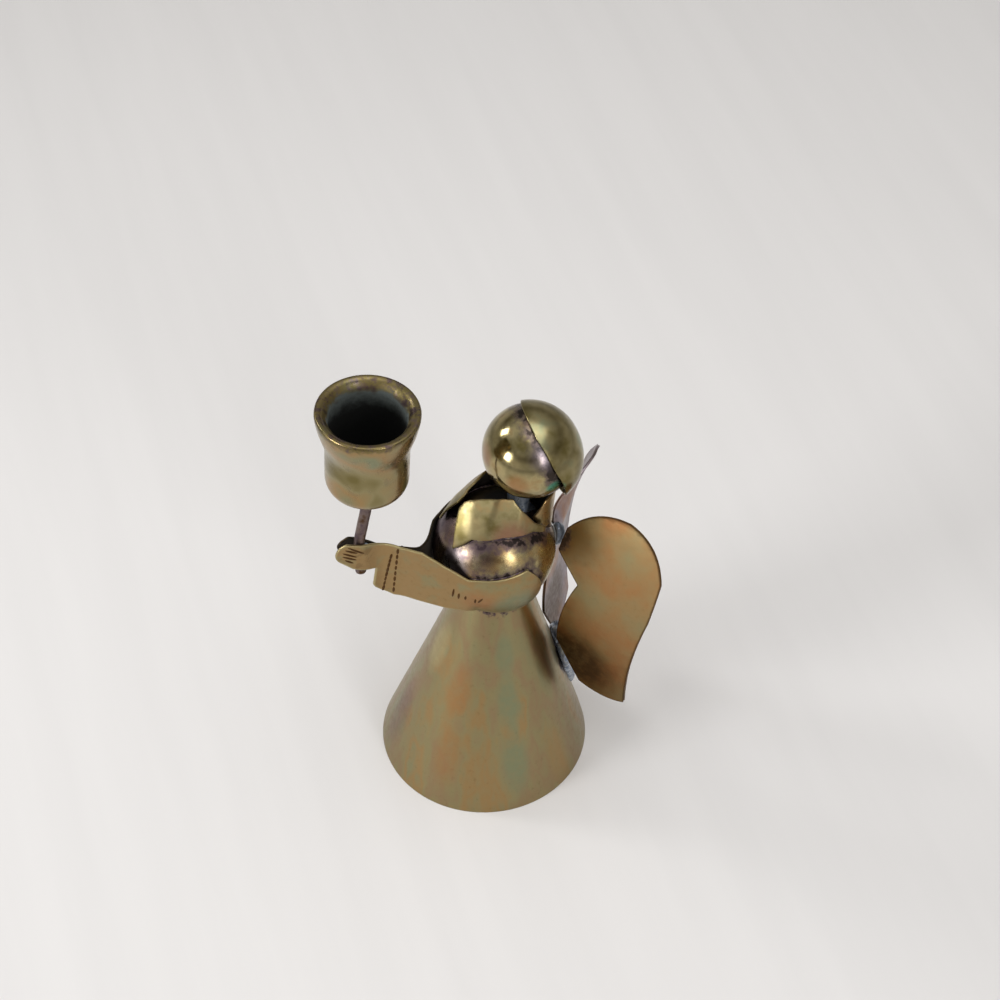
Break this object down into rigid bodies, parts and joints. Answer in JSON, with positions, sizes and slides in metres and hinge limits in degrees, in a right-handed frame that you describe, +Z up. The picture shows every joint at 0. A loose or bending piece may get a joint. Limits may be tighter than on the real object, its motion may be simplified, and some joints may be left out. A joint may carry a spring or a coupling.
{
  "type": "angel figure candle holder",
  "caption": "Small angel of soldered sheet brass on an open cone skirt, holding a spun candle cup on a rod in front of its chest.",
  "frame": {"origin": "centre of the skirt's hem, on the surface that the figure stands on", "axes": "+Z up, -Y the way the figure faces and holds the cup, +X the figure's own left side"},
  "size_m": [0.0396, 0.0559, 0.0956],
  "materials": {
    "skirt_brass": "aged satin brass sheet with faint heat tarnish",
    "torso_brass": "polished brass ball with purple heat stains",
    "cape_brass": "aged brass sheet, bright cut edges",
    "sleeve_brass": "aged brass sheet with engraved lines",
    "head_brass": "polished brass ball",
    "hair_brass": "satin brass cap",
    "wing_brass": "warm aged brass sheet with dark edges",
    "cup_brass": "satin spun brass, sooty inside",
    "rod_brass": "dull heat-stained brass wire",
    "solder": "bright lumpy soft solder"
  },
  "bodies": {
    "root": {"skirt": "skirt_brass", "torso": "torso_brass", "left_cape": "cape_brass", "right_cape": "cape_brass", "back_collar": "cape_brass", "left_arm": "sleeve_brass", "right_arm": "sleeve_brass", "neck_post": "solder", "head_ball": "head_brass", "hair_cap": "hair_brass", "left_wing": "wing_brass", "right_wing": "wing_brass", "candle_cup": "cup_brass", "stem_rod": "rod_brass", "hand_solder": "solder", "wing_solder_top": "solder", "wing_solder_bottom": "solder", "waist_solder": "solder", "neck_solder": "solder", "cup_solder": "solder"}
  },
  "joints": []
}
